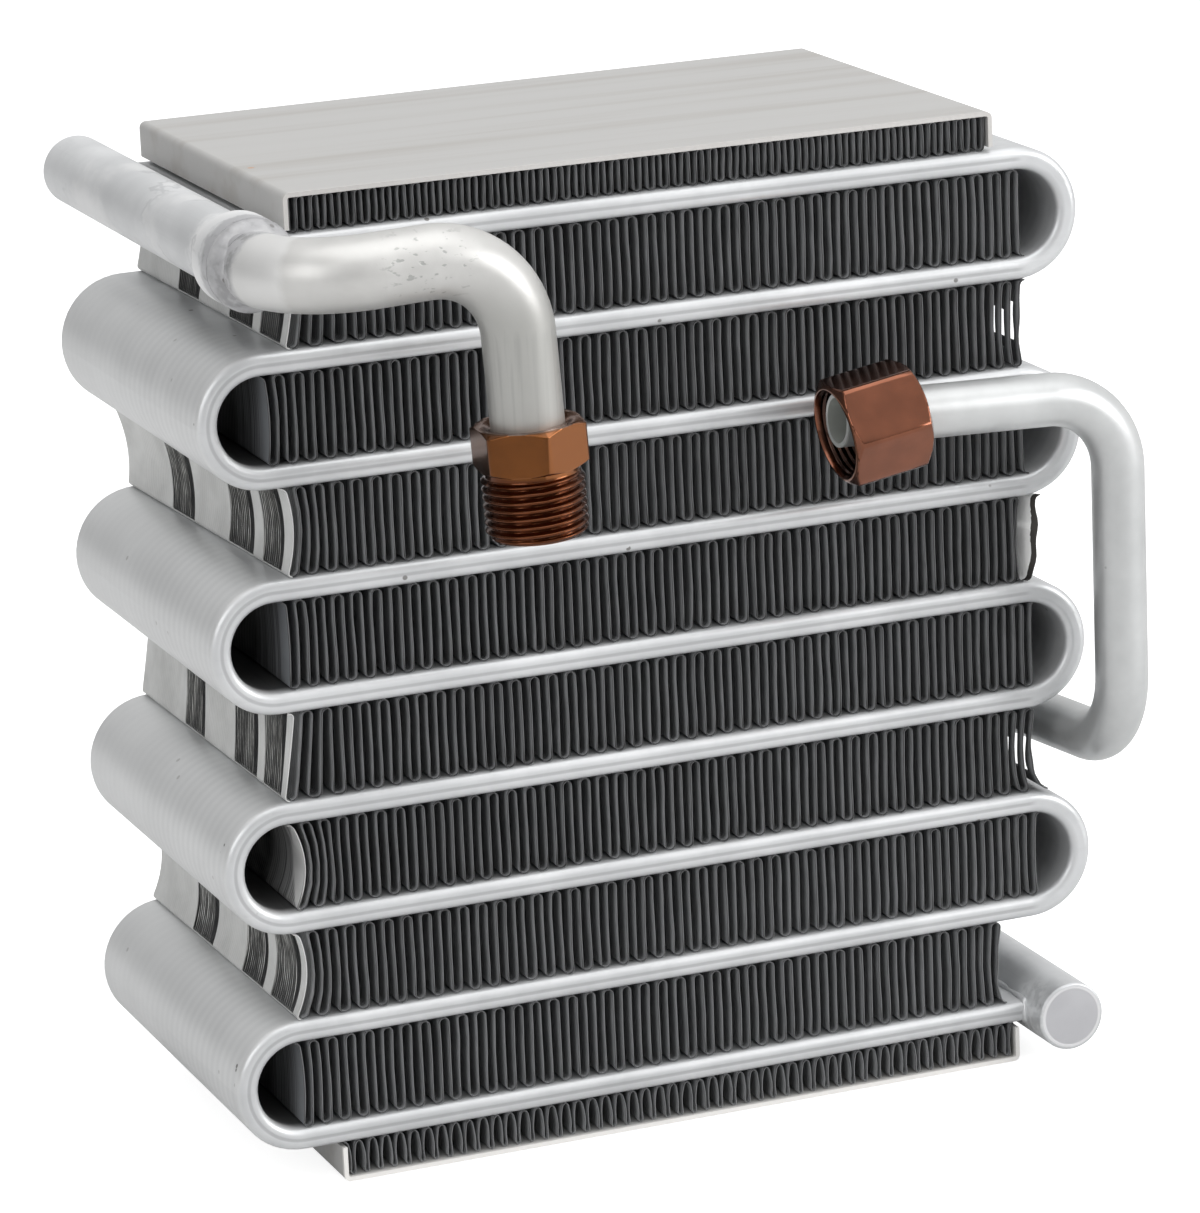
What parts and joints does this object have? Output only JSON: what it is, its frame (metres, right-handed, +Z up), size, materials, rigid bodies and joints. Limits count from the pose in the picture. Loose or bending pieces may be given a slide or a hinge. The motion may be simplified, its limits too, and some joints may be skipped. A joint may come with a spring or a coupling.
{
  "type": "evaporator core",
  "caption": "Evaporator core: a flat tube folded to and fro over corrugated fins, with side plates, end headers, a bent suction pipe with a male fitting and a liquid pipe with a loose nut.",
  "frame": {"origin": "middle of the bottom side plate's lower face, which the core stands on", "axes": "+X to the right along the front face, +Y to the back along the air's way through the fins, +Z up"},
  "size_m": [0.2153, 0.1923, 0.223],
  "materials": {
    "tube": "satin extruded and brazed aluminium",
    "fin": "thin dull grey coated sheet",
    "edge_fin": "thin dull grey coated sheet",
    "plate": "matte rolled sheet with faint stains",
    "header": "satin drawn tube with fine scratches",
    "cap": "satin machined disc",
    "filler": "smooth brazing alloy",
    "pipe": "satin drawn pipe with bending scuffs",
    "fitting": "brown anodised",
    "nut": "brown anodised"
  },
  "bodies": {
    "core": {"bottom_edge_fin": "edge_fin", "bottom_side_plate": "plate", "fin_1": "fin", "fin_2": "fin", "fin_3": "fin", "fin_4": "fin", "fin_5": "fin", "fin_6": "fin", "fin_7": "fin", "fin_8": "fin", "liquid_header": "header", "liquid_header_cap": "cap", "liquid_joint_filler": "filler", "liquid_pipe": "pipe", "serpentine_tube": "tube", "suction_fitting": "fitting", "suction_header": "header", "suction_header_cap": "cap", "suction_joint_filler": "filler", "suction_pipe": "pipe", "top_edge_fin": "edge_fin", "top_side_plate": "plate"},
    "nut": {"liquid_nut": "nut"}
  },
  "joints": [
    {"name": "nut_spin", "type": "hinge", "parent": "core", "child": "nut", "pos_m": [0.04512, -0.0675, 0.16052], "axis": [0.9874, 0, 0.1585], "continuous": true}
  ]
}
